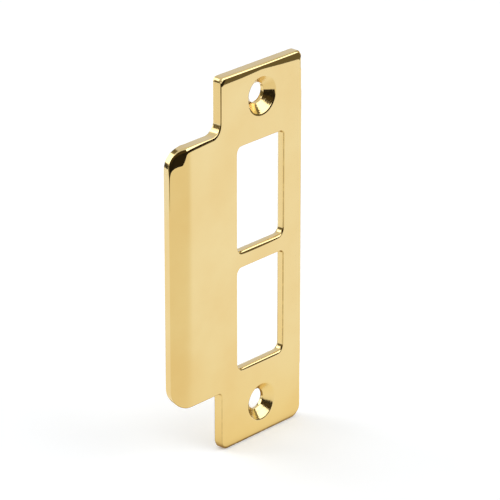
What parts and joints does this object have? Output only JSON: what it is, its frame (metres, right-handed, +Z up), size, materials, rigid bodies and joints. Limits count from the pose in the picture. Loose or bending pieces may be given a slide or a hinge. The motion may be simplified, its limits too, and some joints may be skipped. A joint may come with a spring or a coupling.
{
  "type": "door strike plate",
  "caption": "Polished brass strike plate with latch and bolt windows, countersunk screw holes and a lip that turns back round the jamb's edge.",
  "frame": {"origin": "midway between the two screw holes, in the plane of the back face that lies on the jamb", "axes": "+Z up along the plate as it is screwed to the jamb, +Y into the jamb, +X across the plate, away from the lip"},
  "size_m": [0.0396, 0.0037, 0.0856],
  "materials": {
    "polished_brass": "polished to a mirror, unlacquered"
  },
  "bodies": {
    "root": {"strike_plate": "polished_brass"}
  },
  "joints": []
}
